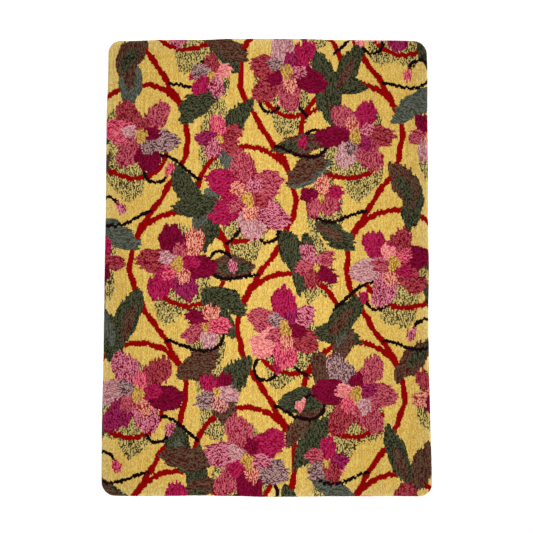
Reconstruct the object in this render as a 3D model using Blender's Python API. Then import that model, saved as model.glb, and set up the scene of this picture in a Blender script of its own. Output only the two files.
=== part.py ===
"""A tufted wool rug lying flat on a floor.

The rug is one piece: short cut pile tufted into a cloth whose border is turned under. It is one
flat solid with rounded corners. Along the border the pile rolls over, bulges a little at its
waist and tucks in to the flat underside. Its sides wander by a few millimetres, as they do on a
rug tufted and trimmed by hand.

Units are metres. The origin is the centre of the underside, which lies in the plane z = 0.
+Z points up out of the pile and +Y runs along the length, towards the head end.
"""

import math

import bmesh
import bpy
import numpy as np

MM = 0.001

# Size of the whole rug, measured across the widest part of the rim
WIDTH = 1.204
LENGTH = 1.700
THICKNESS = 0.015
CORNER_RADIUS = 0.050

# The rim's section: it rolls over above the waist and tucks in below it
ROLL_REACH = 0.010
TUCK_REACH = 0.004
WAIST_HEIGHT = 0.006
ROLL_STEPS = 4
TUCK_STEPS = 3

# Rise and fall of the pile's top, as slow waves along and across
SWELL = 0.0005
SWELL_LENGTH_X = 0.46
SWELL_LENGTH_Y = 0.62

# Fineness of the top's grid
CELL = 0.045
CORNER_CELLS = 4

# How far each side wanders from a straight line, in millimetres.
# Columns: place along the side, shift towards +X (left, right) or +Y (top, bottom)
LEFT_SIDE = (
    (-745, -0.9), (-560, -1.9), (-376, 0.0), (-192, 0.2), (-7, -0.4),
    (177, 0.7), (361, -0.4), (546, -1.4), (730, 2.2),
)
RIGHT_SIDE = (
    (-741, 4.3), (-557, 0.8), (-373, -2.2), (-188, -2.6), (-4, 0.9),
    (180, -0.5), (365, 0.5), (549, 0.3), (733, 1.8),
)
TOP_SIDE = (
    (-518, -6.8), (-389, -2.1), (-260, -1.7), (-132, 2.7), (-3, 3.4),
    (125, 2.8), (254, -0.5), (382, -1.1), (511, -2.1),
)
BOTTOM_SIDE = (
    (-496, -0.6), (-371, -0.1), (-247, 2.0), (-123, 0.5), (2, -2.3),
    (126, -1.3), (250, 0.5), (375, 1.0), (499, 2.2),
)

# How far each corner is drawn in along its diagonal, and how wide that pull spreads.
# Columns: side in X, side in Y, pull in millimetres
CORNER_PULLS = (
    (-1, 1, -0.8),
    (1, 1, 4.6),
    (-1, -1, 2.9),
    (1, -1, -2.1),
)
CORNER_SPREAD = 0.070

PILE_COLOUR = (0.716, 0.485, 0.130, 1.0)
PILE_ROUGHNESS = 0.95


def clear_scene():
    """Remove every object of the open scene."""
    for thing in list(bpy.data.objects):
        bpy.data.objects.remove(thing, do_unlink=True)


def core_half_sizes():
    """Half sizes of the core rectangle, whose corners are the centres of the round corners."""
    return np.array((WIDTH / 2 - CORNER_RADIUS, LENGTH / 2 - CORNER_RADIUS))


def grid_lines(core_half):
    """Places of the grid lines along one direction: fine in both corners, even between them."""
    reach = CORNER_RADIUS - ROLL_REACH
    middle = np.linspace(-core_half, core_half, round(2 * core_half / CELL) + 1)
    corner = core_half + reach * np.arange(1, CORNER_CELLS + 1) / CORNER_CELLS
    return np.concatenate((-corner[::-1], middle, corner))


def round_corners(points):
    """Bend the square corner blocks of the grid into quarter discs.

    With u and v as the two distances from the core's corner, over the block's size, a point
    goes to (u sqrt(1 - v v / 2), v sqrt(1 - u u / 2)), which sends the block's outer edges
    onto the circle. Along the straight sides one of the two is nought and nothing moves.
    """
    reach = CORNER_RADIUS - ROLL_REACH
    half = core_half_sizes()
    core = np.clip(points, -half, half)
    part = (points - core) / reach
    swapped = part[:, ::-1]
    return core + reach * part * np.sqrt(1 - swapped ** 2 / 2)


def rim_section():
    """Rings of the rim from the top down, each as its inset from the outline and its height.

    Two quarter ellipses that meet at the waist: the upper one falls from the pile's top, and
    the lower one tucks in to the underside.
    """
    rings = []
    for step in range(1, ROLL_STEPS + 1):
        turn = math.pi / 2 * step / ROLL_STEPS
        height = WAIST_HEIGHT + (THICKNESS - WAIST_HEIGHT) * math.cos(turn)
        rings.append((ROLL_REACH * (1 - math.sin(turn)), height))
    for step in range(1, TUCK_STEPS + 1):
        turn = math.pi / 2 * step / TUCK_STEPS
        rings.append((TUCK_REACH * (1 - math.cos(turn)), WAIST_HEIGHT * (1 - math.sin(turn))))
    return rings


def place_on_ring(vertex, inset, height):
    """Move a border vertex out from the core rectangle to one ring of the rim."""
    half = core_half_sizes()
    flat = np.array(vertex.co[:2])
    core = np.clip(flat, -half, half)
    outward = (flat - core) / np.linalg.norm(flat - core)
    flat = core + outward * (CORNER_RADIUS - inset)
    vertex.co = (flat[0], flat[1], height)


def make_slab():
    """A rounded slab: a grid for the top, rings extruded down the rim and a flat underside."""
    half = core_half_sizes()
    lines = (grid_lines(half[0]), grid_lines(half[1]))
    bpy.ops.mesh.primitive_grid_add(
        x_subdivisions=len(lines[0]) - 1, y_subdivisions=len(lines[1]) - 1, size=2
    )
    rug = bpy.context.object
    mesh = bpy.data.meshes.new("rug")
    bm = bmesh.new()
    bm.from_mesh(rug.data)
    corners = np.array([vertex.co[:2] for vertex in bm.verts])
    for way, places in enumerate(lines):
        corners[:, way] = np.interp(corners[:, way], np.linspace(-1, 1, len(places)), places)
    corners = round_corners(corners)
    for vertex, flat in zip(bm.verts, corners):
        vertex.co = (flat[0], flat[1], THICKNESS)

    border = [edge for edge in bm.edges if edge.is_boundary]
    for inset, height in rim_section():
        ring = bmesh.ops.extrude_edge_only(bm, edges=border)["geom"]
        border = [item for item in ring if isinstance(item, bmesh.types.BMEdge)]
        for vertex in {vertex for edge in border for vertex in edge.verts}:
            place_on_ring(vertex, inset, height)
    bmesh.ops.holes_fill(bm, edges=border, sides=0)
    bmesh.ops.recalc_face_normals(bm, faces=bm.faces)
    bm.to_mesh(mesh)
    bm.free()
    first_mesh = rug.data
    rug.data = mesh
    bpy.data.meshes.remove(first_mesh)
    return rug


def wander(side, places):
    """Shift of one side at the given places, easing smoothly from each station to the next."""
    stations = np.array(side) * MM
    at = np.interp(places, stations[:, 0], np.arange(len(stations)))
    lower = np.minimum(at.astype(int), len(stations) - 2)
    part = at - lower
    eased = part * part * (3 - 2 * part)
    start = stations[lower, 1]
    return start + (stations[lower + 1, 1] - start) * eased


def wander_sides(points):
    """Shift every point by the wander of the two nearest sides, blended across the rug."""
    across = points[:, 0] / WIDTH + 0.5
    along = points[:, 1] / LENGTH + 0.5
    shift_x = wander(LEFT_SIDE, points[:, 1]) * (1 - across) + wander(RIGHT_SIDE, points[:, 1]) * across
    shift_y = wander(BOTTOM_SIDE, points[:, 0]) * (1 - along) + wander(TOP_SIDE, points[:, 0]) * along
    points[:, 0] += shift_x
    points[:, 1] += shift_y


def pull_corners(points):
    """Draw each corner in along its diagonal, fading with the square of the distance."""
    for side_x, side_y, pull in CORNER_PULLS:
        corner = np.array((side_x * WIDTH / 2, side_y * LENGTH / 2))
        distance = np.linalg.norm(points[:, :2] - corner, axis=1)
        fade = np.exp(-(distance / CORNER_SPREAD) ** 2)
        points[:, 0] -= side_x * pull * MM * math.sqrt(0.5) * fade
        points[:, 1] -= side_y * pull * MM * math.sqrt(0.5) * fade


def swell_top(points):
    """Lower the top by slow crossed waves, in proportion to each point's height."""
    wave = np.sin(2 * math.pi * points[:, 0] / SWELL_LENGTH_X)
    wave = wave * np.sin(2 * math.pi * points[:, 1] / SWELL_LENGTH_Y)
    points[:, 2] *= 1 - SWELL * (1 - wave) / THICKNESS


def centre_on_box(points):
    """Move the rug so that the middle of its box is over the origin."""
    low = points[:, :2].min(axis=0)
    high = points[:, :2].max(axis=0)
    points[:, :2] -= (low + high) / 2


def make_uneven(rug):
    """Give the slab the hand-made rug's uneven sides, corners and top."""
    mesh = rug.data
    points = np.empty(len(mesh.vertices) * 3)
    mesh.vertices.foreach_get("co", points)
    points = points.reshape(-1, 3)
    wander_sides(points)
    pull_corners(points)
    swell_top(points)
    centre_on_box(points)
    mesh.vertices.foreach_set("co", points.ravel())
    mesh.update()


def wool_pile():
    """Dyed wool, cut short: fully matt, in the rug's golden ground colour."""
    wool = bpy.data.materials.new("wool_pile")
    wool.use_nodes = True
    shader = wool.node_tree.nodes["Principled BSDF"]
    shader.inputs["Base Color"].default_value = PILE_COLOUR
    shader.inputs["Roughness"].default_value = PILE_ROUGHNESS
    shader.inputs["Metallic"].default_value = 0.0
    return wool


def collect(rug):
    """Keep the rug in a collection named for the object."""
    home = bpy.data.collections.new("tufted_rug")
    bpy.context.scene.collection.children.link(home)
    for other in list(rug.users_collection):
        other.objects.unlink(rug)
    home.objects.link(rug)


def main():
    clear_scene()
    rug = make_slab()
    rug.name = "rug"
    make_uneven(rug)
    rug.data.shade_smooth()
    rug.data.set_sharp_from_angle(angle=math.radians(50))
    rug.data.materials.append(wool_pile())
    collect(rug)


main()
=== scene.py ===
"""The looks of a tufted wool rug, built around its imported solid.

The face is one surface of cut tufts, laid over the solid's top and rolled over its rim down to
the floor. It is made as bands, so that no piece grows too large, and each tuft is a low cone of
six triangles that wears one dyed yarn. The underside is the canvas that the pile is tufted
into, with its border turned under.

The pattern is a scrolling one: swaying stems, a branch that curls round a rosette in each bay,
leaves, speckled moss patches, small blooms and black tendrils with buds. It is drawn as a tufter
draws it, row by row, so that shapes end raggedly where rows of tufts end.

Units are metres, and angles that a constant holds are in degrees, unless its comment says
otherwise. X runs across the rug, Y along it towards the head end, and Z up.
"""

import math
from types import SimpleNamespace

import bmesh
import bpy
import numpy as np
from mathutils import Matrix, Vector


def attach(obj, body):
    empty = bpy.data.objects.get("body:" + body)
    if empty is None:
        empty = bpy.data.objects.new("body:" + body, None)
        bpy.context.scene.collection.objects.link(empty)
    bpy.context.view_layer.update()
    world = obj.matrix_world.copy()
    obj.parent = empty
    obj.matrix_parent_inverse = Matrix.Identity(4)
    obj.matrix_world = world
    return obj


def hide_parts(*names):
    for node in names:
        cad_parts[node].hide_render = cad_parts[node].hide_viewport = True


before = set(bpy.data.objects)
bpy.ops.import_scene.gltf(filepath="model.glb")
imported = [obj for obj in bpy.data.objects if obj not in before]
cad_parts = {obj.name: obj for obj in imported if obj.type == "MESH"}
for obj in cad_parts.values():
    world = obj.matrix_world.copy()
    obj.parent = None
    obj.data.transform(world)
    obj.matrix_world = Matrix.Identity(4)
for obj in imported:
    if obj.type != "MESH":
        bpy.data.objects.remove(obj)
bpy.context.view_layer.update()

MM = 0.001
# A distance that stands in for none at all where something is divided by it
NEARLY_NOTHING = 1e-9

# The rug, as its solid has it
WIDTH = 1.204
LENGTH = 1.700
THICKNESS = 0.015
CORNER_RADIUS = 0.050
ROLL_REACH = 0.010
TUCK_REACH = 0.004
WAIST_HEIGHT = 0.006
SWELL = 0.0005
SWELL_LENGTH_X = 0.46
SWELL_LENGTH_Y = 0.62

# How far each side wanders from a straight line, in millimetres, as fitted to the outline in
# the photo. Columns: place along the side, shift towards +X (left, right) or +Y (top, bottom)
LEFT_SIDE = (
    (-745, -0.9), (-560, -1.9), (-376, 0.0), (-192, 0.2), (-7, -0.4),
    (177, 0.7), (361, -0.4), (546, -1.4), (730, 2.2),
)
RIGHT_SIDE = (
    (-741, 4.3), (-557, 0.8), (-373, -2.2), (-188, -2.6), (-4, 0.9),
    (180, -0.5), (365, 0.5), (549, 0.3), (733, 1.8),
)
TOP_SIDE = (
    (-518, -6.8), (-389, -2.1), (-260, -1.7), (-132, 2.7), (-3, 3.4),
    (125, 2.8), (254, -0.5), (382, -1.1), (511, -2.1),
)
BOTTOM_SIDE = (
    (-496, -0.6), (-371, -0.1), (-247, 2.0), (-123, 0.5), (2, -2.3),
    (126, -1.3), (250, 0.5), (375, 1.0), (499, 2.2),
)

# How far each corner is drawn in along its diagonal.
# Columns: side in X, side in Y, pull in millimetres
CORNER_PULLS = (
    (-1, 1, -0.8),
    (1, 1, 4.6),
    (-1, -1, 2.9),
    (1, -1, -2.1),
)
CORNER_SPREAD = 0.070

# Tufts stand in rows along the rug. A tuft's spacing along its row, the edge of the triangles
# that it is made of, and the spacing of the rows
TUFT = 3.95 * MM
EDGE = TUFT / math.sqrt(3)
ROW = 1.5 * EDGE

# A scatter's weights for its keys and the size of its sine, and the keys that keep the
# scatters of different things apart
SCATTER_WEIGHTS = (12.9898, 78.233, 37.719)
SCATTER_SINE = 43758.5453
ROW_KEY = 1
PAIR_KEY = 2
TONE_KEY = 3
STREAK_KEY = 5
TUFT_KEY = 7
DEPTH_KEY = 9

# Where the random draws start, those of the pattern and those of the pile alike
SEED = 11


def smooth_step(share):
    """Ease a share from 0 to 1 as 3 t t - 2 t t t, with t held between 0 and 1."""
    t = np.clip(share, 0, 1)
    return t * t * (3 - 2 * t)


def scatter(*keys):
    """An even scatter from 0 to 1 that depends only on the keys.

    The keys are added up with unlike weights, and the value is the fraction of a large sine.
    """
    total = sum(key * weight for key, weight in zip(keys, SCATTER_WEIGHTS))
    value = np.sin(total) * SCATTER_SINE
    return value - np.floor(value)


def core_half_sizes():
    """Half sizes of the core rectangle, whose corners are the centres of the round corners."""
    return np.array((WIDTH / 2 - CORNER_RADIUS, LENGTH / 2 - CORNER_RADIUS))


def rim_section(steps=24):
    """The rim's section from the top down, by length along it.

    Two quarter ellipses meet at the waist: out = -roll (1 - sin a), up = waist + rise cos a, and
    then out = -tuck (1 - cos a), up = waist (1 - sin a). The normal is the way along, turned by
    a right angle.
    """
    turn = np.linspace(0, math.pi / 2, steps)
    roll_out = -ROLL_REACH * (1 - np.sin(turn))
    roll_up = WAIST_HEIGHT + (THICKNESS - WAIST_HEIGHT) * np.cos(turn)
    tuck_out = -TUCK_REACH * (1 - np.cos(turn[1:]))
    tuck_up = WAIST_HEIGHT * (1 - np.sin(turn[1:]))
    out = np.concatenate((roll_out, tuck_out))
    up = np.concatenate((roll_up, tuck_up))
    length = np.concatenate(([0], np.cumsum(np.hypot(np.diff(out), np.diff(up)))))
    ahead = np.stack((np.gradient(out, length), np.gradient(up, length)))
    ahead /= np.linalg.norm(ahead, axis=0)
    return SimpleNamespace(
        length=length, out=out, up=up, normal_out=-ahead[1], normal_up=ahead[0]
    )


RIM = rim_section()
FLAT_REACH = CORNER_RADIUS - ROLL_REACH
FULL_REACH = FLAT_REACH + RIM.length[-1]


def from_core(x, y):
    """Nearest point of the core rectangle, the way out from it and the distance, for each place."""
    half = core_half_sizes()
    core = np.stack((np.clip(x, -half[0], half[0]), np.clip(y, -half[1], half[1])))
    away = np.stack((x, y)) - core
    reach = np.hypot(away[0], away[1])
    return core, away / np.maximum(reach, NEARLY_NOTHING), reach


def wander(side, places):
    """Shift of one side at the given places, easing smoothly from each station to the next."""
    stations = np.array(side) * MM
    at = np.interp(places, stations[:, 0], np.arange(len(stations)))
    lower = np.minimum(at.astype(int), len(stations) - 2)
    start = stations[lower, 1]
    return start + (stations[lower + 1, 1] - start) * smooth_step(at - lower)


def make_uneven(points):
    """Give points of an even rug the solid's wandering sides, pulled corners and slow swell.

    Each point takes the shifts of the two sides across from each other, blended by its place
    between them. A corner pulls with a bell of its distance. The top sinks by crossed sines.
    """
    across = points[:, 0] / WIDTH + 0.5
    along = points[:, 1] / LENGTH + 0.5
    shift_x = wander(LEFT_SIDE, points[:, 1]) * (1 - across)
    shift_x = shift_x + wander(RIGHT_SIDE, points[:, 1]) * across
    shift_y = wander(BOTTOM_SIDE, points[:, 0]) * (1 - along)
    shift_y = shift_y + wander(TOP_SIDE, points[:, 0]) * along
    moved = points + np.stack((shift_x, shift_y, np.zeros(len(points))), axis=1)
    for side_x, side_y, pull in CORNER_PULLS:
        distance = np.hypot(moved[:, 0] - side_x * WIDTH / 2, moved[:, 1] - side_y * LENGTH / 2)
        inward = pull * MM * math.sqrt(0.5) * np.exp(-(distance / CORNER_SPREAD) ** 2)
        moved[:, 0] -= side_x * inward
        moved[:, 1] -= side_y * inward
    wave = np.sin(2 * math.pi * moved[:, 0] / SWELL_LENGTH_X)
    wave *= np.sin(2 * math.pi * moved[:, 1] / SWELL_LENGTH_Y)
    moved[:, 2] *= 1 - SWELL * (1 - wave) / THICKNESS
    return moved


def outline(count, inset):
    """Points round the even outline, drawn in by the inset: even steps of angle as seen from
    a square, carried out from the core rectangle to the corner radius less the inset."""
    turn = 2 * math.pi * (np.arange(count) + 0.5) / count
    half = core_half_sizes() + CORNER_RADIUS
    square = np.stack((np.cos(turn), np.sin(turn)))
    square /= np.abs(square).max(axis=0)
    core, way, reach = from_core(square[0] * half[0], square[1] * half[1])
    return core + way * (CORNER_RADIUS - inset)


def outline_middle(steps=2000):
    """The middle of the uneven outline's box, which the solid has over the origin."""
    edge = outline(steps, 0)
    points = np.stack((edge[0], edge[1], np.full(steps, WAIST_HEIGHT)), axis=1)
    points = make_uneven(points)
    return (points[:, :2].min(axis=0) + points[:, :2].max(axis=0)) / 2


MIDDLE = outline_middle()


def as_the_solid_lies(points):
    """Make points uneven and centre them as the solid is, never below the floor."""
    points = make_uneven(points)
    points[:, :2] -= MIDDLE
    points[:, 2] = np.maximum(points[:, 2], 0)
    return points


def lay_on_rug(x, y, lift):
    """Carry places of the unrolled face onto the rug.

    Up to the rim a place keeps its x and y at the top's height. Past that, its distance from
    the core rectangle is the length along the rim's section. Lift is added along the normal.
    """
    core, way, reach = from_core(x, y)
    down = np.clip(reach - FLAT_REACH, 0, RIM.length[-1])
    out = np.where(down > 0, CORNER_RADIUS + np.interp(down, RIM.length, RIM.out), reach)
    out = out + lift * np.interp(down, RIM.length, RIM.normal_out)
    up = np.interp(down, RIM.length, RIM.up) + lift * np.interp(down, RIM.length, RIM.normal_up)
    flat = core + way * out
    return as_the_solid_lies(np.stack((flat[0], flat[1], up), axis=1))


# How far a tuft's points stray sideways, as a share of an edge. A course is the tufts side by
# side across the rug, every second one half a tuft on, so its middle lies a quarter tuft on
LEAN = 0.28
COURSE_MIDDLE = 0.25


def lattice_triangles(q):
    """The triangles between rows of points, where every row with an odd q is shifted by half
    an edge. Each triangle is the numbers of its three points."""
    number = np.arange(q.size).reshape(q.shape)
    low, right = number[:-1, :-1], number[:-1, 1:]
    above, beyond = number[1:, :-1], number[1:, 1:]
    even = q[:-1, :-1] % 2 == 0
    first = np.stack((low, right, np.where(even, above, beyond)), axis=-1)
    second = np.stack((np.where(even, right, low), beyond, above), axis=-1)
    return np.concatenate((first.reshape(-1, 3), second.reshape(-1, 3)))


def tuft_lattice(random):
    """The unrolled face as equilateral triangles, each with one tuft's tip and two gaps.

    Rows of points are half a tuft apart, every second one shifted by half an edge. Of the
    three kinds of point that a triangle joins, kind 0 is the tip, and six triangles meet there.
    Points past the rim's foot come back to it.
    """
    half = core_half_sizes() + FULL_REACH
    across = math.ceil(half[0] / EDGE) + 1
    along = math.ceil(half[1] / (TUFT / 2)) + 1
    p, q = np.meshgrid(np.arange(-across, across + 1), np.arange(-along, along + 1))
    x = ((p + 0.5 * (q % 2)) * EDGE).ravel()
    y = (q * TUFT / 2).ravel()
    tip = ((p - q // 2 - q) % 3 == 0).ravel()

    core, way, reach = from_core(x, y)
    inside = reach < FULL_REACH
    triangles = lattice_triangles(q)
    triangles = triangles[inside[triangles].any(axis=1)]
    place = core + way * np.minimum(reach, FULL_REACH)
    shake = random.uniform(-LEAN, LEAN, place.shape) * EDGE * inside
    return SimpleNamespace(
        x=place[0] + shake[0],
        y=place[1] + shake[1],
        tip=tip,
        inside=inside,
        row=np.round(x / ROW),
        course=np.floor(y / TUFT + COURSE_MIDDLE),
        triangles=triangles,
        owner=triangles[np.arange(len(triangles)), np.argmax(tip[triangles], axis=1)],
    )


# Dyed yarns, matched to the colours of the yarns in the photo.
# Columns: name, darker ply, lighter ply
YARNS = (
    ("golden", "BE953F", "D1B460"),
    ("madder_red", "780001", "890002"),
    ("black", "0A0205", "1A070A"),
    ("bottle_green", "141807", "484833"),
    ("slate_green", "353529", "5B5F54"),
    ("olive_maroon", "3E0A09", "574533"),
    ("moss", "31240F", "BFA963"),
    ("burgundy", "500012", "7B0832"),
    ("plum", "5B0121", "972755"),
    ("magenta", "72011A", "A92152"),
    ("crimson", "60020A", "A34049"),
    ("dark_rose", "730124", "B65860"),
    ("rose_heather", "6B0214", "CC7689"),
    ("salmon", "940138", "D56670"),
    ("coral_heather", "871A09", "DB947F"),
    ("light_pink", "BA4E58", "DD9387"),
    ("lilac", "8E5056", "C59896"),
    ("ash_mauve", "42242A", "A88480"),
    ("mauve_heather", "5D010C", "D19286"),
    ("ochre", "82570F", "C9A052"),
)
NUMBER = {name: number for number, (name, dark, light) in enumerate(YARNS)}

# How far a pair of rows, there and back, ends before or past its shape, and how far each row
# does on top of that
RAGGED = 9 * MM
ROW_RAGGED = 2 * MM

# How shapes stray from their plain forms. A blade's edges wave, each on its own. A patch's
# radius swells three and five times round, and stays within its reach. A line has points a
# step apart and is painted in stretches of some 30 of them. Its width swells every 70 mm, and
# its edges are less ragged. A phase sets each shape apart from the last. Turns are in radians
BLADE_WAVE = 0.07
BLADE_TURNS = 14
BLADE_EDGES_APART = 2
BLADE_PHASE = 1.7
PATCH_WAVE_OF_THREE = 0.14
PATCH_WAVE_OF_FIVE = 0.09
PATCH_PHASE = 2.3
PATCH_REACH = 1.3
LINE_WAVE = 0.1
LINE_TURNS = 90
LINE_STEP = 0.004
LINE_ROUGHNESS = 0.45
LINE_STRETCH = 30


def ragged(tufts, near, across, seed, roughness):
    """Places of the near tufts as the tufter's rows see them: on the row's own line, and longer
    or shorter by a scatter of each pair of rows and of each row. Rows run along the rug, or
    across it."""
    line = (tufts.course if across else tufts.row)[near]
    slip = RAGGED * (2 * scatter(np.floor(line / 2), seed) - 1)
    slip = roughness * (slip + ROW_RAGGED * (2 * scatter(line, seed, ROW_KEY) - 1))
    if across:
        return tufts.x[near] + slip, (line + COURSE_MIDDLE) * TUFT
    return line * ROW, tufts.y[near] + slip


def way_at(angle):
    """The unit step at an angle in radians."""
    return np.array((math.cos(angle), math.sin(angle)))


class Pattern:
    """The yarn of every tuft and the way its row runs, painted shape over shape."""

    def __init__(self, tufts):
        self.tufts = tufts
        self.yarn = np.full(len(tufts.x), NUMBER["golden"])
        self.across = np.zeros(len(tufts.x), bool)
        self.shapes = 0

    def rows(self):
        """The number of each tuft's row, or of its course where its row runs across."""
        return np.where(self.across, self.tufts.course, self.tufts.row)

    def paint(self, yarn, across, middle, reach, shape, roughness=1.0):
        """Give the yarn to the tufts that the shape, a rule on x and y, takes in. It lies
        within the reach of its middle."""
        self.shapes += 1
        reach = reach + RAGGED + ROW_RAGGED
        near = np.abs(self.tufts.x - middle[0]) < reach
        near &= np.abs(self.tufts.y - middle[1]) < reach
        near = np.flatnonzero(near)
        taken = near[shape(*ragged(self.tufts, near, across, self.shapes, roughness))]
        self.yarn[taken] = NUMBER[yarn]
        self.across[taken] = across

    def blade(self, yarn, root, angle, length, width, fullness=(0.6, 0.4), bend=0.0):
        """A petal or leaf: its half width is s^a (1 - s)^b from root to tip, scaled to the
        width, with a small wave along its edge. Its middle line bows aside by s (1 - s)."""
        across = abs(math.cos(angle)) > abs(math.sin(angle))
        widest = fullness[0] / sum(fullness)
        most = widest ** fullness[0] * (1 - widest) ** fullness[1]
        phase = self.shapes * BLADE_PHASE

        def shape(x, y):
            east, north = x - root[0], y - root[1]
            along = (east * math.cos(angle) + north * math.sin(angle)) / length
            aside = (north * math.cos(angle) - east * math.sin(angle)) / (width / 2)
            part = np.clip(along, 0, 1)
            aside = aside - 4 * bend * part * (1 - part)
            half = part ** fullness[0] * (1 - part) ** fullness[1] / most
            turn = part * BLADE_TURNS + phase + BLADE_EDGES_APART * np.sign(aside)
            half = half * (1 + BLADE_WAVE * np.sin(turn))
            return (along > 0) & (along < 1) & (np.abs(aside) < half)

        middle = root + 0.5 * length * way_at(angle)
        self.paint(yarn, across, middle, 0.5 * length + width, shape)

    def blob(self, yarn, centre, half_width, half_height):
        """A patch: an ellipse whose radius swells and sinks three and five times round."""
        phase = self.shapes * PATCH_PHASE

        def shape(x, y):
            east, north = (x - centre[0]) / half_width, (y - centre[1]) / half_height
            turn = np.arctan2(north, east)
            edge = 1 + PATCH_WAVE_OF_THREE * np.sin(3 * turn + phase)
            edge = edge + PATCH_WAVE_OF_FIVE * np.sin(5 * turn + 2 * phase)
            return np.hypot(east, north) < edge

        self.paint(yarn, False, centre, PATCH_REACH * max(half_width, half_height), shape)

    def line(self, yarn, path, widths):
        """A line along a path, tufted in stretches: what lies nearer than half the width to
        any of its points. The width swells and sinks by a tenth every 70 mm."""
        turn = np.arange(len(path)) * LINE_STEP * LINE_TURNS + self.shapes
        widths = widths * (1 + LINE_WAVE * np.sin(turn))
        for stretch in np.array_split(np.arange(len(path)), len(path) // LINE_STRETCH + 1):

            def shape(x, y):
                taken = np.zeros(len(x), bool)
                for spot, width in zip(path[stretch], widths[stretch]):
                    taken |= np.hypot(x - spot[0], y - spot[1]) < width / 2
                return taken

            low, high = path[stretch].min(axis=0), path[stretch].max(axis=0)
            reach = (high - low).max() / 2 + widths.max()
            self.paint(yarn, False, (low + high) / 2, reach, shape, LINE_ROUGHNESS)


# The stems stand in columns and sway. Each crest of a stem has a bay, whose middle is drawn
# aside from the stem's own line, and a bay counts up to the margin past the rug's ends
STEM_COLUMNS = (-1, 0, 1)
COLUMN_GAP = 0.40
BAY_GAP = 0.48
BAY_STEPS = range(-3, 3)
BAY_MARGIN = 0.15
BAY_MIDDLE = 0.070
SWAY = 0.105
OUTSIDE_CREST = 0.215


def stem_place(column, along):
    """A stem's place at a distance along the rug: it sways as a cosine, from the crest of one
    bay to the crest of the next on its other side."""
    turn = math.pi * (along / BAY_GAP - 0.5 * (column % 2) - 0.5)
    return np.array((column * COLUMN_GAP + SWAY * math.cos(turn), along))


def find_bays():
    """The bays: at each crest of a stem, the side that the stem passes on, and the middle of
    what curls round in the bay, a little to the other side."""
    bays = []
    for column in STEM_COLUMNS:
        for step in BAY_STEPS:
            level = (step + 0.5 + 0.5 * (column % 2)) * BAY_GAP
            if abs(level) > LENGTH / 2 + BAY_MARGIN:
                continue
            side = 1 if step % 2 == 0 else -1
            middle = np.array((column * COLUMN_GAP - side * BAY_MIDDLE, level))
            bays.append(SimpleNamespace(column=column, side=side, middle=middle, level=level))
    return bays


def in_bay(bay, place, distance, heading):
    """A place round a bay's middle and a heading there, mirrored where the stem is on the
    left."""
    turn, angle = math.radians(place), math.radians(heading)
    if bay.side < 0:
        turn, angle = math.pi - turn, math.pi - angle
    return bay.middle + distance * way_at(turn), angle


def outside_crest(bay, rise=0.0):
    """The place where something grows outside the stem's crest, or above or below it."""
    return np.array((bay.column * COLUMN_GAP + bay.side * OUTSIDE_CREST, bay.level + rise))


# The stems' width, how far they run past the rug's ends, and two waves on their sway.
# Columns of a wave: reach, radians a metre
STEM_WIDTH = 0.0215
STEM_MARGIN = 0.05
SLOW_WAVE = (0.003, 37)
QUICK_WAVE = (0.002, 83)


def paint_stem(pattern, column):
    """One stem, from below the foot of the rug to above its head."""
    end = LENGTH / 2 + STEM_MARGIN
    places = np.arange(-end, end, LINE_STEP)
    path = np.array([stem_place(column, along) for along in places])
    slow = SLOW_WAVE[0] * np.sin(places * SLOW_WAVE[1] + column)
    quick = QUICK_WAVE[0] * np.sin(places * QUICK_WAVE[1])
    path[:, 0] += slow + quick
    pattern.line("madder_red", path, np.full(len(path), STEM_WIDTH))


# A branch leaves its stem above the crest, turns round the bay in a count of points, and
# narrows to its end. How far it swells, shrinks and waves is a share of its first distance from
# the bay's middle, and its waves start at a phase in radians
BRANCH = SimpleNamespace(
    above_crest=0.10, turn=290, points=230, end_width=0.0170,
    swell=(0.08, 0.24), shrink=0.36, wave=0.04, waves=3, phase=(0, 6),
)


def paint_branch(pattern, random, bay):
    """The curl round a bay: from the stem above its crest, round by the branch's turn. Its
    distance from the middle swells by a sine and shrinks as share^2, with growing waves."""
    start = stem_place(bay.column, bay.level + BRANCH.above_crest) - bay.middle
    share = np.linspace(0, 1, BRANCH.points)
    turn = math.atan2(start[1], start[0]) + bay.side * math.radians(BRANCH.turn) * share
    swell = random.uniform(*BRANCH.swell) * np.sin(math.pi * share)
    waves = BRANCH.wave * share * np.sin(BRANCH.waves * turn + random.uniform(*BRANCH.phase))
    reach = np.hypot(start[0], start[1]) * (1 + swell + waves - BRANCH.shrink * share ** 2)
    path = bay.middle + np.stack((reach * np.cos(turn), reach * np.sin(turn)), axis=1)
    pattern.line("madder_red", path, np.linspace(STEM_WIDTH, BRANCH.end_width, len(path)))


# The moss patches' shift away from the stem, their drop below the bay's middle or the crest,
# and their half sizes
WIDE_MOSS = SimpleNamespace(
    shift=(0.0, 0.04), drop=0.06, half_width=(0.10, 0.115), half_height=(0.155, 0.175)
)
TALL_MOSS = SimpleNamespace(drop=0.02, half_width=(0.055, 0.07), half_height=(0.12, 0.15))


def paint_moss(pattern, random, bay):
    """Speckled patches: a wide one behind the rosette and a tall one outside the stem's crest."""
    shift = np.array((-bay.side * random.uniform(*WIDE_MOSS.shift), -WIDE_MOSS.drop))
    places = (bay.middle + shift, outside_crest(bay, -TALL_MOSS.drop))
    for place, moss in zip(places, (WIDE_MOSS, TALL_MOSS)):
        half_width = random.uniform(*moss.half_width)
        half_height = random.uniform(*moss.half_height)
        pattern.blob("moss", place, half_width, half_height)


# Leaves of a bay, as for a stem on its right. Columns: place round the bay's middle, distance
# from it, and the leaf's own angle
LEAVES = (
    (22, 0.150, 40),
    (-40, 0.160, -62),
    (118, 0.130, 102),
    (216, 0.130, 228),
    (186, 0.100, 184),
)
# The greens of leaves, the commoner ones more than once
GREENS = (
    "bottle_green", "bottle_green", "bottle_green", "bottle_green", "bottle_green",
    "olive_maroon", "olive_maroon", "olive_maroon", "olive_maroon", "slate_green",
    "slate_green",
)
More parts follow.
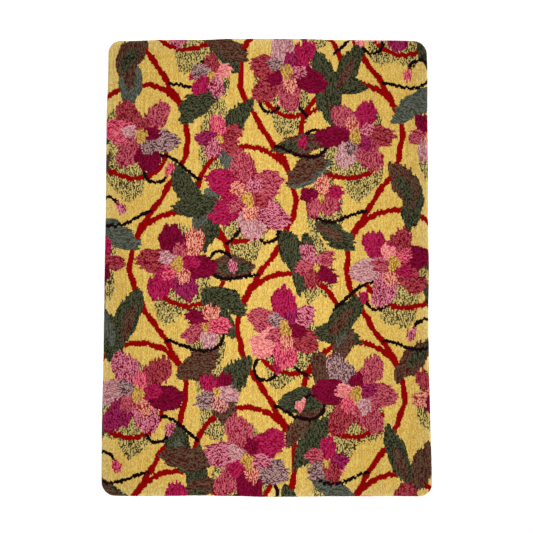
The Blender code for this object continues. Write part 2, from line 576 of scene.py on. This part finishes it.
# How far a leaf strays in its place and its angle, its sizes and its form. Half of the leaves
# have a second green, whose root, length and width are shares of the leaf's
LEAF = SimpleNamespace(
    place_stray=7, angle_stray=12, length=(0.18, 0.24), width=(0.076, 0.100), bend=0.35,
    fullness=(0.75, 0.8),
)
SECOND_GREEN = SimpleNamespace(
    chance=0.5, root=0.3, length=0.62, width=0.45, fullness=(0.7, 0.7)
)


def paint_leaves(pattern, random, bay):
    """Leaves that grow outwards from the stem's crest and from the curl, or from behind the
    rosette, many with a second green along their middle."""
    for place, distance, heading in LEAVES:
        place = place + random.uniform(-LEAF.place_stray, LEAF.place_stray)
        heading = heading + random.uniform(-LEAF.angle_stray, LEAF.angle_stray)
        root, angle = in_bay(bay, place, distance, heading)
        main, second = random.permutation(GREENS)[:2]
        length = random.uniform(*LEAF.length)
        width = random.uniform(*LEAF.width)
        bend = random.uniform(-LEAF.bend, LEAF.bend)
        pattern.blade(main, root, angle, length, width, LEAF.fullness, bend)
        if random.uniform() < SECOND_GREEN.chance:
            root = root + SECOND_GREEN.root * length * way_at(angle)
            length, width = SECOND_GREEN.length * length, SECOND_GREEN.width * width
            pattern.blade(second, root, angle, length, width, SECOND_GREEN.fullness, bend)


# Tendrils of a bay, as for a stem on its right. Columns: place round the bay's middle, distance
# from it, first heading, turn in radians, and length
TENDRILS = (
    (64, 0.222, -6, 4.4, 0.36),
    (158, 0.190, 150, 4.8, 0.36),
)
TENDRIL = SimpleNamespace(width=0.0130, angle_stray=10, length_share=(0.9, 1.1), sway_back=0.2)
BUD = SimpleNamespace(
    length=0.05, width=0.036, yarns=("salmon", "light_pink", "rose_heather", "magenta")
)


def tendril_path(start, angle, length, turn):
    """A curl: its heading sways the other way first, then turns faster and faster, as the
    share of its length to the power 2, and steps of even length follow the heading."""
    share = np.linspace(0, 1, round(length / LINE_STEP))
    sway = TENDRIL.sway_back * turn * np.sin(math.pi * share) * (1 - share)
    heading = angle - sway + turn * share ** 2
    steps = np.stack((np.cos(heading), np.sin(heading)), axis=1) * LINE_STEP
    return start + np.cumsum(steps, axis=0)


def paint_tendrils(pattern, random, bay, number):
    """Black curls from a bay's stem and branch, each with a bud at its end."""
    for which, (place, distance, heading, turn, length) in enumerate(TENDRILS):
        heading = heading + random.uniform(-TENDRIL.angle_stray, TENDRIL.angle_stray)
        start, angle = in_bay(bay, place, distance, heading)
        length = length * random.uniform(*TENDRIL.length_share)
        path = tendril_path(start, angle, length, turn * bay.side)
        pattern.line("black", path, np.full(len(path), TENDRIL.width))
        east, north = path[-1] - path[-2]
        yarn = BUD.yarns[(number + which) % len(BUD.yarns)]
        pattern.blade(yarn, path[-1], math.atan2(north, east), BUD.length, BUD.width)


# The pinks of petals, the commoner ones more than once
DEEP_PINKS = (
    "burgundy", "burgundy", "plum", "magenta", "magenta", "crimson", "crimson", "dark_rose",
    "dark_rose", "dark_rose", "rose_heather", "rose_heather", "salmon",
)
PALE_PINKS = (
    "coral_heather", "coral_heather", "light_pink", "lilac", "ash_mauve", "ash_mauve",
    "mauve_heather",
)
# A rosette's scale, the length and width of its long petals and its small ones at that scale,
# and the half width and half height of its eye. A bloom has one ring of petals, and its place
# strays
PETAL_FULLNESS = (0.6, 0.5)
PETAL_STRAY = 8
ROSETTE = SimpleNamespace(
    scale=(1.0, 1.22), length=(0.125, 0.155), width=(0.074, 0.088),
    small_length=0.070, small_width=0.046, eye=(0.022, 0.028),
)
BLOOM = SimpleNamespace(
    petals=5, stray=0.015, length=(0.078, 0.098), width=(0.056, 0.066), eye=(0.014, 0.016)
)


def paint_petals(pattern, random, yarns, place, start, flower, scale=1.0):
    """A ring of petals, one of each yarn, which stray a little from even angles."""
    for petal, yarn in enumerate(yarns):
        stray = random.uniform(-PETAL_STRAY, PETAL_STRAY)
        angle = math.radians(start + 360 / len(yarns) * petal + stray)
        length = scale * random.uniform(*flower.length)
        width = scale * random.uniform(*flower.width)
        pattern.blade(yarn, place, angle, length, width, PETAL_FULLNESS)


def paint_rosette(pattern, random, place):
    """Six long petals in unlike pinks, more of them deep than pale, five small ones on them
    and an ochre eye."""
    deep = random.permutation(DEEP_PINKS)
    pale = random.permutation(PALE_PINKS)
    long_petals = random.permutation((*deep[:5], pale[0]))
    gap = 360 / len(long_petals)
    start = random.uniform(0, gap)
    scale = random.uniform(*ROSETTE.scale)
    paint_petals(pattern, random, long_petals, place, start, ROSETTE, scale)
    small_petals = (deep[5], pale[1], deep[6], pale[2], deep[7])
    for petal, yarn in enumerate(small_petals):
        angle = math.radians(start + gap / 2 + 360 / len(small_petals) * petal)
        length, width = scale * ROSETTE.small_length, scale * ROSETTE.small_width
        pattern.blade(yarn, place, angle, length, width)
    pattern.blob("ochre", place, *ROSETTE.eye)


def paint_bloom(pattern, random, bay):
    """A small open bloom outside the stem's crest, with an ochre eye."""
    place = outside_crest(bay) + random.uniform(-BLOOM.stray, BLOOM.stray, 2)
    yarns = random.permutation((*DEEP_PINKS, *PALE_PINKS))[:BLOOM.petals]
    start = random.uniform(0, 360 / BLOOM.petals)
    paint_petals(pattern, random, yarns, place, start, BLOOM)
    pattern.blob("ochre", place, *BLOOM.eye)


def paint_pattern(tufts):
    """Paint the whole scrolling pattern, from what lies behind to what lies in front."""
    pattern = Pattern(tufts)
    random = np.random.default_rng(SEED)
    bays = find_bays()
    for bay in bays:
        paint_moss(pattern, random, bay)
    for bay in bays:
        paint_branch(pattern, random, bay)
    for column in STEM_COLUMNS:
        paint_stem(pattern, column)
    for bay in bays:
        paint_leaves(pattern, random, bay)
    for number, bay in enumerate(bays):
        paint_tendrils(pattern, random, bay, number)
    for bay in bays:
        paint_bloom(pattern, random, bay)
    for bay in bays:
        paint_rosette(pattern, random, bay.middle)
    return pattern


# The length of one streak of a ply along its row, and how much the streaks count that a row
# doesn't share with its pair. How much of the lot a change of ply takes, and a tuft's own part
STREAK = 7 * MM
ROW_SHARE = 0.5
PLY_CHANGE = 0.5
TUFT_SHARE = 0.5


def streak_number(line, along):
    """The streak that each place lies in. Streaks start at a scattered place on each line,
    which is a row or a pair of rows."""
    return np.floor(along / STREAK + scatter(line, STREAK_KEY))


def ply_shares(pattern):
    """How far each tuft shows its yarn's lighter ply: short streaks along the row, mostly the
    one or the other, and a little scatter from tuft to tuft. The two rows of a pair tend to
    show opposite plies, as a twisted yarn does when it comes back."""
    tufts = pattern.tufts
    row = pattern.rows()
    pair = np.floor(row / 2)
    along = np.where(pattern.across, tufts.x, tufts.y)
    shared = scatter(pair, streak_number(pair, along), PAIR_KEY)
    single = scatter(row, streak_number(row, along), pattern.across + 1)
    lot = (shared + 0.5 * (row % 2) + ROW_SHARE * single) % 1
    own = scatter(tufts.row, tufts.course, TUFT_KEY) - 0.5
    return smooth_step((lot - 0.5) / PLY_CHANGE + 0.5 + TUFT_SHARE * own)


# Brightness: how far a tuft's own tone and its row's go either way, and how much painted light
# brightens the rim where the pile rolls over, which the lamps leave darker. How far in from the
# rim the painted light from the white floor reaches on the golden ground
TUFT_TONE = 0.12
ROW_TONE = 0.09
RIM_PAINTED_LIGHT = 0.25
FLOOR_LIGHT_REACH = 0.038


def rim_nearness(tufts, reach):
    """How near each tuft is to the rim, 1 on it: a bell of the distance in from the outline."""
    core, way, out = from_core(tufts.x, tufts.y)
    half = core_half_sizes()
    inside = np.minimum(half[0] - np.abs(core[0]), half[1] - np.abs(core[1]))
    inset = np.maximum(CORNER_RADIUS - out + inside, 0)
    return np.exp(-(inset / reach) ** 2)


def tuft_shades(pattern, random):
    """Brightness of each tuft: its own scatter and its row's, and painted light where the pile
    rolls over the rim, which the lamps leave darker."""
    own = random.uniform(-1, 1, len(pattern.tufts.x))
    row = 2 * scatter(pattern.rows(), TONE_KEY) - 1
    rim_light = rim_nearness(pattern.tufts, ROLL_REACH)
    return 1 + TUFT_TONE * own + ROW_TONE * row + RIM_PAINTED_LIGHT * rim_light


def bleaching(pattern):
    """How much painted light from the white floor pales each tuft, 1 at the rim. It is painted on
    the golden ground only, and the figures keep their colour."""
    return rim_nearness(pattern.tufts, FLOOR_LIGHT_REACH) * (pattern.yarn == NUMBER["golden"])


def linear(hex_colour):
    """An sRGB hex colour as linear red, green, blue and a full alpha."""
    parts = [int(hex_colour[at:at + 2], 16) / 255 for at in (0, 2, 4)]
    light = [c / 12.92 if c <= 0.04045 else ((c + 0.055) / 1.055) ** 2.4 for c in parts]
    return (*light, 1.0)


def add_node(tree, kind, settings=None, inputs=None):
    """Add a node with its settings, and with inputs that are values or outputs to link."""
    node = tree.nodes.new("ShaderNode" + kind)
    for name, value in (settings or {}).items():
        setattr(node, name, value)
    for socket, value in (inputs or {}).items():
        if isinstance(value, bpy.types.NodeSocket):
            tree.links.new(value, node.inputs[socket])
        else:
            node.inputs[socket].default_value = value
    return node


def new_material(name, sockets):
    """A material with its node tree and its Principled shader, whose plain sockets are set."""
    material = bpy.data.materials.new(name)
    material.use_nodes = True
    tree = material.node_tree
    shader = tree.nodes["Principled BSDF"]
    for socket, value in sockets.items():
        shader.inputs[socket].default_value = value
    return material, tree, shader


# Bundles of fibre about 0.8 mm across show at a tuft's end. Shades are shares of brightness;
# the gap shade is painted shade between tufts. Painted light from the white floor near the rim
# fades the colour by a share and turns its hue by a share of the colour circle
FIBRE_BUNDLE = 0.8 * MM
FIBRE_RELIEF = 0.4 * MM
FIBRE_SHADE = 0.16
# Painted shade in the gaps between tufts
GAP_SHADE = 0.30
FLOOR_LIGHT_FADE = 0.10
FLOOR_LIGHT_TURN = 0.005
WOOL = {
    "Roughness": 0.95,
    "IOR": 1.55,
    "Specular IOR Level": 0.04,
    "Sheen Weight": 0.05,
    "Sheen Roughness": 0.6,
}


def dyed_wool(name, dark, light):
    """Dyed wool, spun, tufted and cut short.

    To the eye it is soft and matt, deep in colour, speckled where two plies differ, darker in
    the gaps between tufts by painted shade, and faintly bright where fibres stand off at a
    glancing view. Where painted light from the white floor falls near the rim, it is paler and a
    little greener.
    """
    sockets = {**WOOL, "Sheen Tint": linear(light)}
    material, tree, shader = new_material(name + "_wool", sockets)
    place = add_node(tree, "TexCoord").outputs["Object"]
    ply, shade, sink, bleach = (
        add_node(tree, "Attribute", {"attribute_name": number}).outputs["Fac"]
        for number in ("ply", "shade", "sink", "bleach")
    )
    fibres = add_node(
        tree, "TexNoise", inputs={"Vector": place, "Scale": 1 / FIBRE_BUNDLE, "Detail": 2.0}
    ).outputs["Fac"]
    plies = add_node(
        tree, "Mix", {"data_type": "RGBA"}, {0: ply, 6: linear(dark), 7: linear(light)}
    ).outputs[2]
    # Each of these four is its start with its weighted amount added: painted shade in the gaps,
    # the fibres' fleck, and the fade and hue turn of painted light from the white floor
    gap, fleck, paled_saturation, hue = (
        add_node(
            tree, "Math", {"operation": "MULTIPLY_ADD"}, {0: amount, 1: weight, 2: start}
        ).outputs[0]
        for amount, weight, start in (
            (sink, -GAP_SHADE, 1.0),
            (fibres, FIBRE_SHADE, 1 - FIBRE_SHADE / 2),
            (bleach, -FLOOR_LIGHT_FADE, 1.0),
            (bleach, FLOOR_LIGHT_TURN, 0.5),
        )
    )
    bright = add_node(tree, "Math", {"operation": "MULTIPLY"}, {0: gap, 1: fleck}).outputs[0]
    bright = add_node(tree, "Math", {"operation": "MULTIPLY"}, {0: bright, 1: shade}).outputs[0]
    colour = add_node(
        tree, "HueSaturation",
        inputs={"Hue": hue, "Saturation": paled_saturation, "Value": bright, "Color": plies},
    ).outputs["Color"]
    bump = add_node(
        tree, "Bump", inputs={"Strength": 0.7, "Distance": FIBRE_RELIEF, "Height": fibres}
    )
    tree.links.new(colour, shader.inputs["Base Color"])
    tree.links.new(bump.outputs["Normal"], shader.inputs["Normal"])
    return material


# Canvas threads, drawn coarser than the real 0.8 mm so that they show, and the thick places in
# them. A wave texture of scale 1 has 20 radians a metre, which is about 3.2 bands
THREAD = 1.6 * MM
THREAD_RELIEF = 0.3 * MM
SLUB = 25 * MM
WAVE_BANDS = 3.2
CANVAS_SHADED = "A08C68"
CANVAS_LIT = "E2D6BC"
CANVAS = {"Roughness": 0.9, "Specular IOR Level": 0.2}


def cotton_canvas():
    """Unbleached cotton canvas, plain woven and stiffened with latex.

    To the eye it is a dry beige cloth of round threads going over and under each other.
    """
    material, tree, shader = new_material("cotton_canvas", CANVAS)
    place = add_node(tree, "TexCoord").outputs["Object"]
    scale = 1 / (THREAD * WAVE_BANDS)
    warp, weft = (
        add_node(
            tree, "TexWave", {"bands_direction": way, "wave_profile": "SIN"},
            {"Vector": place, "Scale": scale, "Distortion": 0.4, "Detail": 1.0},
        ).outputs["Fac"]
        for way in ("X", "Y")
    )
    weave = add_node(tree, "Math", {"operation": "MAXIMUM"}, {0: warp, 1: weft}).outputs[0]
    slubs = add_node(
        tree, "TexNoise", inputs={"Vector": place, "Scale": 1 / SLUB, "Detail": 3.0}
    ).outputs["Fac"]
    tone = add_node(tree, "Math", {"operation": "MULTIPLY"}, {0: weave, 1: slubs}).outputs[0]
    colour = add_node(
        tree, "Mix", {"data_type": "RGBA"},
        {0: tone, 6: linear(CANVAS_SHADED), 7: linear(CANVAS_LIT)},
    ).outputs[2]
    bump = add_node(
        tree, "Bump", inputs={"Strength": 0.6, "Distance": THREAD_RELIEF, "Height": weave}
    )
    tree.links.new(colour, shader.inputs["Base Color"])
    tree.links.new(bump.outputs["Normal"], shader.inputs["Normal"])
    return material


def make_piece(name, points, faces, materials):
    """An object at the origin whose mesh has these points and triangles, shaded smooth."""
    mesh = bpy.data.meshes.new(name)
    mesh.vertices.add(len(points))
    mesh.vertices.foreach_set("co", points.astype(np.float32).ravel())
    mesh.loops.add(faces.size)
    mesh.loops.foreach_set("vertex_index", faces.astype(np.int32).ravel())
    mesh.polygons.add(len(faces))
    mesh.polygons.foreach_set("loop_start", np.arange(0, faces.size, 3, dtype=np.int32))
    mesh.polygons.foreach_set("use_smooth", np.ones(len(faces), bool))
    mesh.update(calc_edges=True)
    for material in materials:
        mesh.materials.append(material)
    piece = bpy.data.objects.new(name, mesh)
    bpy.context.scene.collection.objects.link(piece)
    return piece


def add_numbers(mesh, name, domain, values):
    """Store one number for each point or face of a mesh."""
    store = mesh.attributes.new(name, "FLOAT", domain)
    store.data.foreach_set("value", values.astype(np.float32))


# Bands of the pile from foot to head, and the bare edge round each half of a band's map
BANDS = 6
MAP_MARGIN = 0.004


def add_map(mesh, faces, x, y):
    """A flat map of the unrolled band for its finish, its left half under its right half,
    each stretched to the map's width and half its height."""
    right = x[faces].mean(axis=1) >= 0
    place = np.zeros((*faces.shape, 2))
    for half, chosen in enumerate((~right, right)):
        for way, (values, share) in enumerate(((x, 1.0), (y, 0.5))):
            part = values[faces[chosen]]
            low, high = part.min(), part.max()
            spread = (part - low) / (high - low) * (share - 2 * MAP_MARGIN) + MAP_MARGIN
            place[chosen, :, way] = spread + (0.5 * half if way else 0)
    layer = mesh.uv_layers.new(name="OFBake")
    layer.uv.foreach_set("vector", place.astype(np.float32).ravel())


# How deep the tips of tufts and the gaps between them lie under the surface, how far each
# strays from that either way, and how much deeper some rows lie
TIP_DEPTH = 0.4 * MM
TIP_SCATTER = 0.4 * MM
GAP_DEPTH = 2.1 * MM
GAP_SCATTER = 0.5 * MM
ROW_SCATTER = 0.25 * MM


def pile_points(tufts, random):
    """The points of the pile on the rug: tips near the surface and gaps below it."""
    count = len(tufts.x)
    depth = np.where(tufts.tip, TIP_DEPTH, GAP_DEPTH)
    depth = depth + np.where(tufts.tip, TIP_SCATTER, GAP_SCATTER) * random.uniform(-1, 1, count)
    depth = depth + ROW_SCATTER * scatter(tufts.row, DEPTH_KEY)
    return lay_on_rug(tufts.x, tufts.y, -depth * tufts.inside)


def make_band(name, tufts, chosen, points, looks, materials):
    """One band of the pile: the chosen triangles, each with the looks of its own tuft."""
    used, faces = np.unique(tufts.triangles[chosen], return_inverse=True)
    faces = faces.reshape(-1, 3)
    owner = tufts.owner[chosen]
    band = make_piece(name, points[used], faces, materials)
    band.data.polygons.foreach_set("material_index", looks.yarn[owner].astype(np.int32))
    add_numbers(band.data, "ply", "FACE", looks.ply[owner])
    # Each tuft's tone, with painted light on the rolled-over rim
    add_numbers(band.data, "shade", "FACE", looks.shade[owner])
    # Painted light from the white floor, paling the golden ground near the rim
    add_numbers(band.data, "bleach", "FACE", looks.bleach[owner])
    # Tips 0 and gaps 1, for the painted shade in the gaps between tufts
    add_numbers(band.data, "sink", "POINT", np.where(tufts.tip[used], 0.0, 1.0))
    add_map(band.data, faces, tufts.x[used], tufts.y[used])
    return band


def make_pile():
    """The pile, as bands of triangles from foot to head."""
    random = np.random.default_rng(SEED)
    tufts = tuft_lattice(random)
    pattern = paint_pattern(tufts)
    points = pile_points(tufts, random)
    looks = SimpleNamespace(
        yarn=pattern.yarn,
        ply=ply_shares(pattern),
        shade=tuft_shades(pattern, random),
        bleach=bleaching(pattern),
    )
    materials = [dyed_wool(*yarn) for yarn in YARNS]
    middle = tufts.y[tufts.triangles].mean(axis=1)
    low, high = middle.min(), middle.max()
    band = np.minimum((middle - low) / (high - low) * BANDS, BANDS - 1).astype(int)
    return [
        make_band(f"pile_band_{number + 1}", tufts, band == number, points, looks, materials)
        for number in range(BANDS)
    ]


# The canvas's section, from its spine underneath round the edge to its spine on top.
# Columns: distance in from the rug's outline, or None at the spine, and height, in millimetres
CANVAS_SECTION = (
    (None, 0.5), (34, 0.5), (30, 0.4), (28, 0.0), (6, 0.0), (4, 0.2), (3, 0.7),
    (3, 2.3), (4, 2.8), (6, 3.0), (None, 3.0),
)
CANVAS_STEPS = 480
MERGE_DISTANCE = 1e-6


def canvas_ring(inset, height):
    """One row of the canvas's section carried round: the outline drawn in by its distance. At
    the spine it falls onto the straight line midway between the long sides."""
    ring = outline(CANVAS_STEPS, CORNER_RADIUS if inset is None else inset * MM)
    if inset is None:
        spine = (LENGTH - WIDTH) / 2
        ring = np.stack((np.zeros(CANVAS_STEPS), np.clip(ring[1], -spine, spine)))
    return np.stack((ring[0], ring[1], np.full(CANVAS_STEPS, height * MM)), axis=1)


def close_mesh(mesh):
    """Merge points that lie on each other, as both halves of a spine do, and turn every face
    outwards."""
    bm = bmesh.new()
    bm.from_mesh(mesh)
    bmesh.ops.remove_doubles(bm, verts=bm.verts, dist=MERGE_DISTANCE)
    bmesh.ops.recalc_face_normals(bm, faces=bm.faces)
    bm.to_mesh(mesh)
    bm.free()


def make_canvas():
    """The cloth the pile is tufted into: rings of points, one for each row of its section, with
    two triangles between each step and the next."""
    rings = [canvas_ring(inset, height) for inset, height in CANVAS_SECTION]
    points = as_the_solid_lies(np.concatenate(rings))
    step = np.arange(CANVAS_STEPS)
    after = (step + 1) % CANVAS_STEPS
    faces = []
    for ring in range(len(rings) - 1):
        here, there = ring * CANVAS_STEPS, (ring + 1) * CANVAS_STEPS
        faces.append(np.stack((here + step, here + after, there + after), axis=1))
        faces.append(np.stack((here + step, there + after, there + step), axis=1))
    canvas = make_piece("canvas", points, np.concatenate(faces), [cotton_canvas()])
    close_mesh(canvas.data)
    return canvas


# The floor reaches far past every view, and lies a hair under the rug so that the two don't
# fight for the same place
FLOOR_SIZE = 60
FLOOR_DROP = 0.2 * MM
FLOOR_COLOUR = "FDFDFD"


def make_floor():
    """A plain pale studio floor under the rug, matt all over."""
    sockets = {"Base Color": linear(FLOOR_COLOUR), "Roughness": 1.0, "Specular IOR Level": 0.0}
    bpy.ops.mesh.primitive_plane_add(size=FLOOR_SIZE, location=(0, 0, -FLOOR_DROP))
    floor = bpy.context.object
    floor.name = "studio_floor"
    floor.data.materials.append(new_material("studio_floor", sockets)[0])


# The long lamp over the rug: height, size across and along, beam and power
LONG_LAMP = SimpleNamespace(height=3.4, width=0.5, length=2.4, beam=42, power=9.3)

# Far soft lamps, low down on the right, at the foot and at the head, which light the rim's
# flanks. Columns: name, way that it stands in and height in degrees, strength
FAR_LAMPS = (
    ("right_lamp", 0, 18, 1.35),
    ("foot_lamp", -90, 15, 0.60),
    ("head_lamp", 90, 15, 0.35),
)
FAR_LAMP_SOFTNESS = 25
FAR_LAMP_DISTANCE = 5
ROOM_LIGHT = 0.74


def add_light(kind, name, place):
    """A light at a place, aimed at the rug's middle, with its settings to be filled in."""
    light = bpy.data.lights.new(name, kind)
    holder = bpy.data.objects.new(name, light)
    holder.location = place
    holder.rotation_euler = (-Vector(place)).to_track_quat("-Z", "Y").to_euler()
    holder.visible_camera = False
    bpy.context.scene.collection.objects.link(holder)
    return light


def light_room():
    """Even white light from all round, shown as plain white."""
    world = bpy.data.worlds.new("studio")
    bpy.context.scene.world = world
    world.use_nodes = True
    sky = world.node_tree.nodes["Background"]
    sky.inputs["Color"].default_value = (1, 1, 1, 1)
    sky.inputs["Strength"].default_value = ROOM_LIGHT
    view = bpy.context.scene.view_settings
    view.view_transform = "Standard"
    view.look = "None"


def add_long_lamp():
    """A long lamp over the rug, whose beam is brightest along the rug's middle and fades by a
    fifth towards its long sides."""
    lamp = add_light("AREA", "long_lamp", (0, 0, LONG_LAMP.height))
    lamp.shape = "RECTANGLE"
    lamp.size = LONG_LAMP.width
    lamp.size_y = LONG_LAMP.length
    lamp.spread = math.radians(LONG_LAMP.beam)
    lamp.energy = LONG_LAMP.power


def add_far_lamps():
    """Far soft lamps, each at its way round the rug and its height over the floor."""
    for name, way, height, strength in FAR_LAMPS:
        way, height = math.radians(way), math.radians(height)
        flat = FAR_LAMP_DISTANCE * math.cos(height)
        up = FAR_LAMP_DISTANCE * math.sin(height)
        lamp = add_light("SUN", name, (flat * math.cos(way), flat * math.sin(way), up))
        lamp.energy = strength
        lamp.angle = math.radians(FAR_LAMP_SOFTNESS)


# The camera, in metres and degrees, its lens and sensor in millimetres. Its distance is
# assumed, and the rest is fitted at that distance to the outline in the photo
CAMERA_DISTANCE = 3.0
CAMERA_TILT = 3.4
CAMERA_ROLL = 0.17
CAMERA_AIM = (-0.002, -0.009, 0.0)
LENS = 54.5
SENSOR = 36.0


def add_camera():
    """The camera over the rug, looking down and a little towards the head end."""
    data = bpy.data.cameras.new("camera")
    data.lens = LENS
    data.sensor_width = SENSOR
    camera = bpy.data.objects.new("camera", data)
    tilt = math.radians(CAMERA_TILT)
    camera.location = (
        CAMERA_AIM[0],
        CAMERA_AIM[1] - CAMERA_DISTANCE * math.sin(tilt),
        CAMERA_AIM[2] + CAMERA_DISTANCE * math.cos(tilt),
    )
    camera.rotation_euler = (tilt, 0, math.radians(CAMERA_ROLL))
    bpy.context.scene.collection.objects.link(camera)
    bpy.context.scene.camera = camera


def declare(pile, canvas):
    for piece in [*pile, canvas]:
        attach(piece, "root")
        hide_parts("rug")


pile = make_pile()
canvas = make_canvas()
declare(pile, canvas)
make_floor()
light_room()
add_long_lamp()
add_far_lamps()
add_camera()
